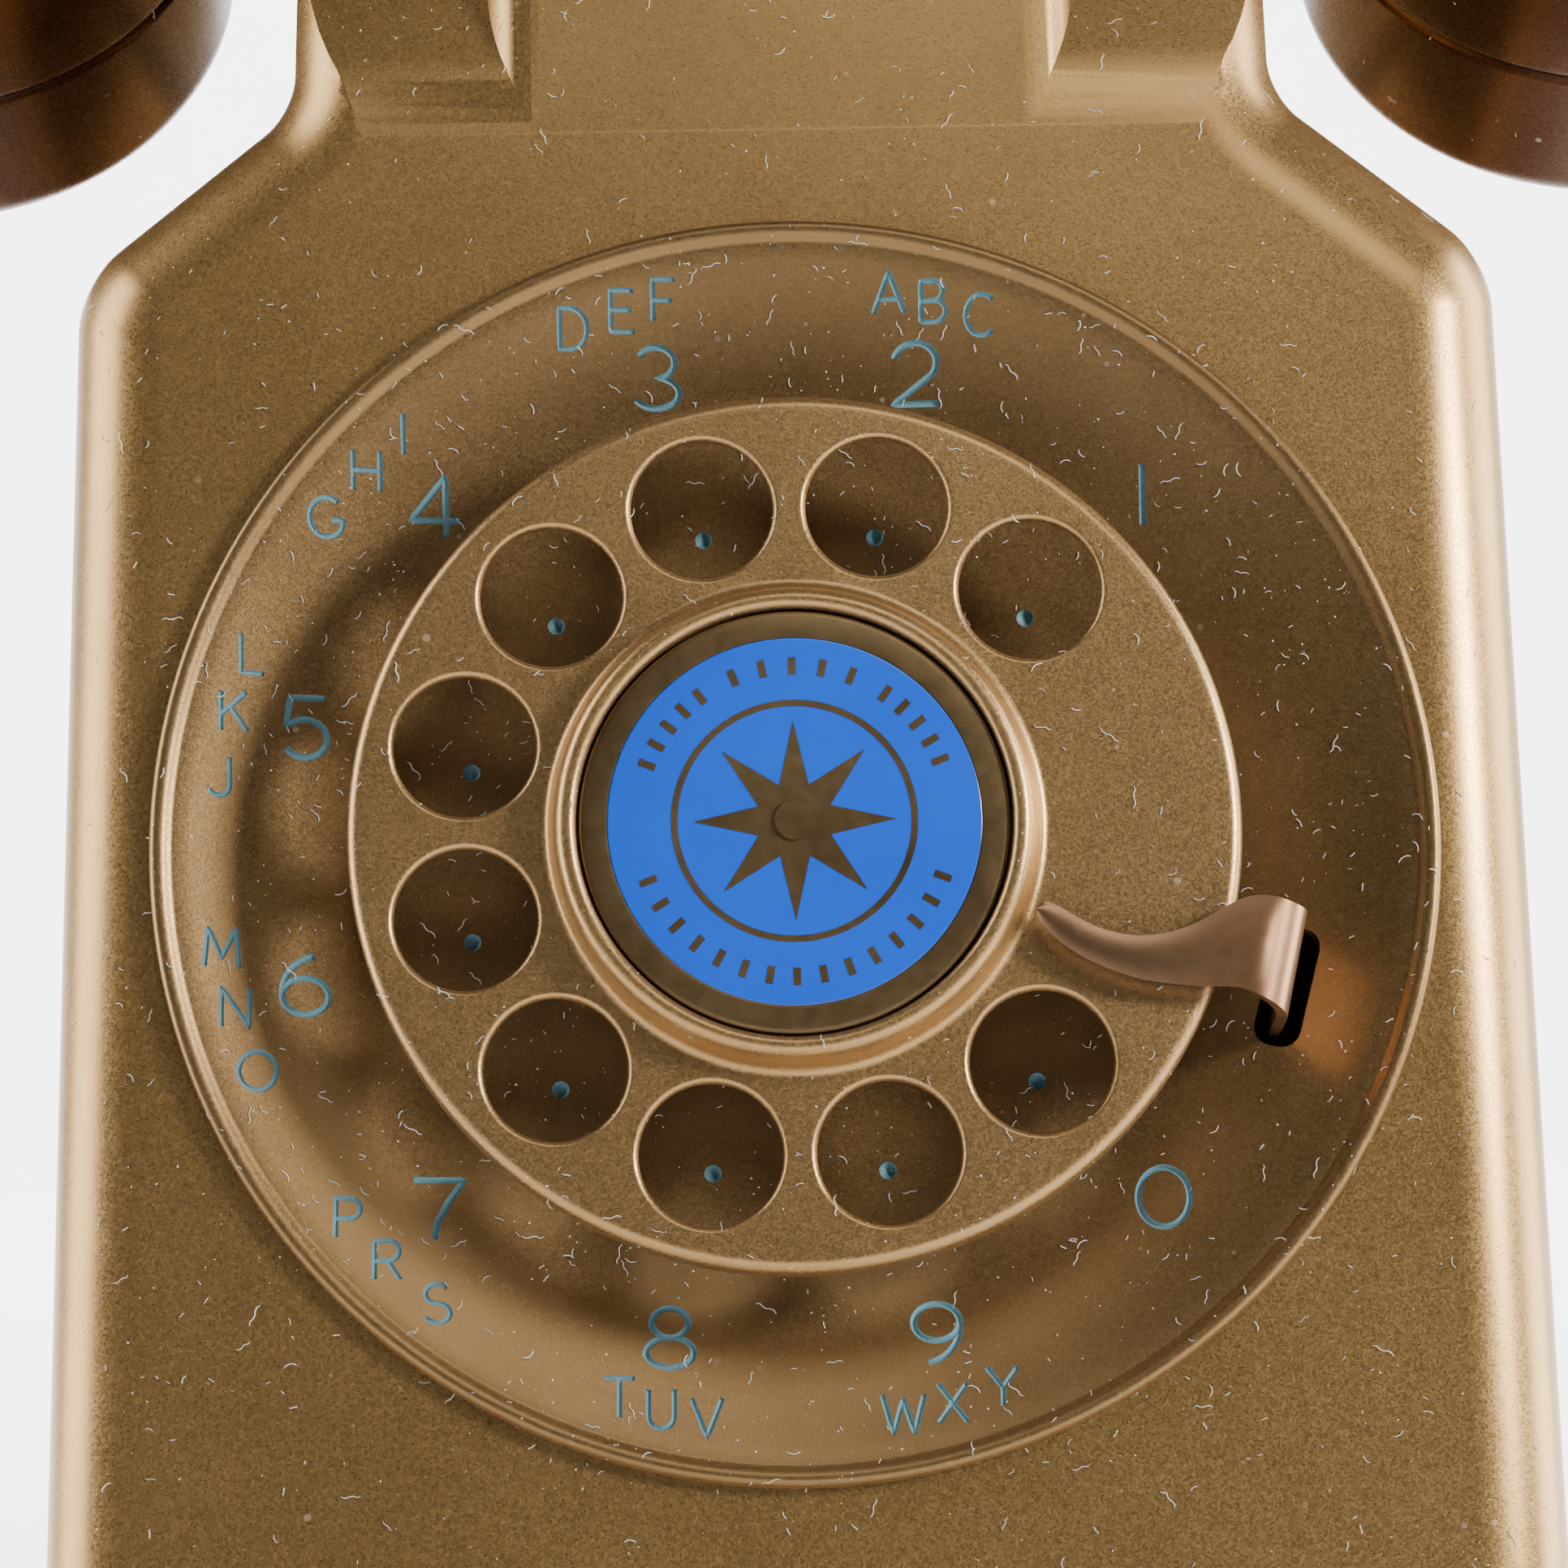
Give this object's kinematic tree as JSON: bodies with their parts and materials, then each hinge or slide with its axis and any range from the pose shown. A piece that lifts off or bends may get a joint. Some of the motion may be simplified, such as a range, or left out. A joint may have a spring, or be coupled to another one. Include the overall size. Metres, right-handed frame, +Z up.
{
  "type": "rotary wall telephone",
  "caption": "Full-size rotary wall telephone in metallic gold-brown: leaning dial face, narrow neck with a cradle, and a handset lying across the top",
  "frame": {"origin": "centre of the backplate's rear face, on the wall plane", "axes": "+X to the right seen from the front, +Y into the wall, +Z up"},
  "size_m": [0.2254, 0.1118, 0.2062],
  "materials": {
    "gold_shell": "satin metallic gold-brown paint over moulded plastic, dusty",
    "gold_metal": "satin metallic gold-brown paint, filled blue-grey characters",
    "brass": "aged brass",
    "copper": "enamelled copper winding and phosphor bronze springs",
    "blue_enamel": "glossy royal blue enamel",
    "black_plastic": "moulded black plastic",
    "rubber": "dark rubber",
    "steel": "zinc plated steel"
  },
  "bodies": {
    "root": {"housing": "gold_shell", "number_ring": "gold_metal", "finger_stop": "gold_metal", "governor_cup": "brass", "gong_left": "brass", "gong_right": "brass", "terminal_screw_1": "brass", "terminal_screw_2": "brass", "terminal_screw_3": "brass", "terminal_screw_4": "brass", "ringer_coil": "copper", "pulse_contact_lower": "copper", "pulse_contact_upper": "copper", "hook_contact_1": "copper", "hook_contact_2": "copper", "hook_contact_3": "copper", "network_block": "black_plastic", "terminal_strip": "black_plastic", "housing_cord_gland": "rubber", "backplate": "steel", "housing_screw_left": "steel", "housing_screw_right": "steel", "dial_frame": "steel", "dial_screw_1": "steel", "dial_screw_2": "steel", "dial_screw_3": "steel", "main_spring": "steel", "ringer_frame": "steel", "gong_post_left": "steel", "gong_post_right": "steel", "gong_screw_left": "steel", "gong_screw_right": "steel", "ringer_core": "steel", "clapper_pin": "steel", "volume_pin": "steel", "hook_bracket": "steel", "hook_pin": "steel", "hook_spring": "steel"},
    "dial": {"finger_wheel": "gold_metal", "medallion_ring": "brass", "medallion_disc": "blue_enamel", "main_shaft": "steel", "main_gear": "brass"},
    "intermediate": {"intermediate_shaft": "steel", "intermediate_gear": "brass", "pulse_cam": "black_plastic"},
    "governor": {"governor_shaft": "steel", "governor_weight_left": "brass", "governor_weight_right": "brass"},
    "handset": {"handset_handle": "gold_shell", "receiver_cap": "gold_shell", "transmitter_cap": "gold_shell", "receiver_unit": "steel", "transmitter_unit": "steel", "handset_cord_gland": "rubber"},
    "clapper_arm": {"clapper": "steel"},
    "volume": {"volume_wheel": "black_plastic"},
    "hook": {"hook_lever": "black_plastic"}
  },
  "joints": [
    {"name": "dial_turn", "type": "hinge", "parent": "root", "child": "dial", "pos_m": [0, -0.099, -0.025], "axis": [0, 0.9781, -0.2079], "range_deg": [0, 330], "stiffness_Nm_per_rad": 0.004, "springref_deg": -85.94},
    {"name": "intermediate_turn", "type": "hinge", "parent": "root", "child": "intermediate", "pos_m": [-0.029, -0.099, -0.025], "axis": [0, 0.9781, -0.2079], "range_deg": [-495, 0]},
    {"name": "governor_turn", "type": "hinge", "parent": "root", "child": "governor", "pos_m": [0, -0.10461, -0.05141], "axis": [0, 0.9781, -0.2079], "range_deg": [0, 3960]},
    {"name": "handset_lift", "type": "slide", "parent": "root", "child": "handset", "axis": [0, 0, 1], "range_m": [0, 0.06]},
    {"name": "hook_rise", "type": "hinge", "parent": "root", "child": "hook", "pos_m": [0, -0.03, 0.062], "axis": [-1, 0, 0], "range_deg": [0, 12]},
    {"name": "clapper_swing", "type": "hinge", "parent": "root", "child": "clapper_arm", "pos_m": [0, -0.016, -0.044], "axis": [0, 1, 0], "range_deg": [-3, 3]},
    {"name": "volume_turn", "type": "hinge", "parent": "root", "child": "volume", "pos_m": [0, -0.04, -0.0915], "axis": [1, 0, 0], "range_deg": [0, 90]}
  ],
  "couplings": [
    {"joint": "intermediate_turn", "follows": "dial_turn", "ratio": -1.5},
    {"joint": "governor_turn", "follows": "dial_turn", "ratio": 12},
    {"joint": "hook_rise", "follows": "handset_lift", "rad_per_m": 3.4903}
  ]
}
